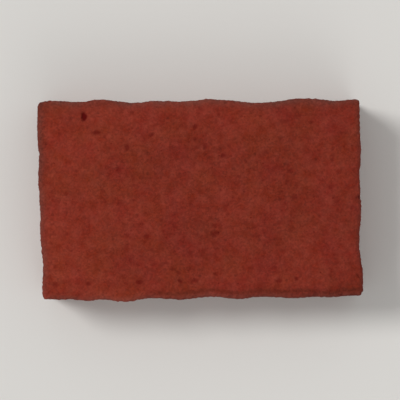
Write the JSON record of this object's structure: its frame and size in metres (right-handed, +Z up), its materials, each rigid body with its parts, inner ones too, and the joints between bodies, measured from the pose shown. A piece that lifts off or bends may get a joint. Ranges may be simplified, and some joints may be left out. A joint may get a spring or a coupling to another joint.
{
  "type": "concrete paving stone",
  "caption": "Oblong tumbled paving stone of red concrete, with wandering sides and a worn, rounded edge round its flat wearing face.",
  "frame": {"origin": "middle of the bed, the flat underside, between the mean lines of the four sides", "axes": "+X along the stone's length, +Y across it, +Z up through its thickness and out of the wearing face"},
  "size_m": [0.2582, 0.1616, 0.06],
  "materials": {
    "red_concrete": "matt, fine sandy texture, coloured through"
  },
  "bodies": {
    "root": {"paving_stone": "red_concrete"}
  },
  "joints": []
}
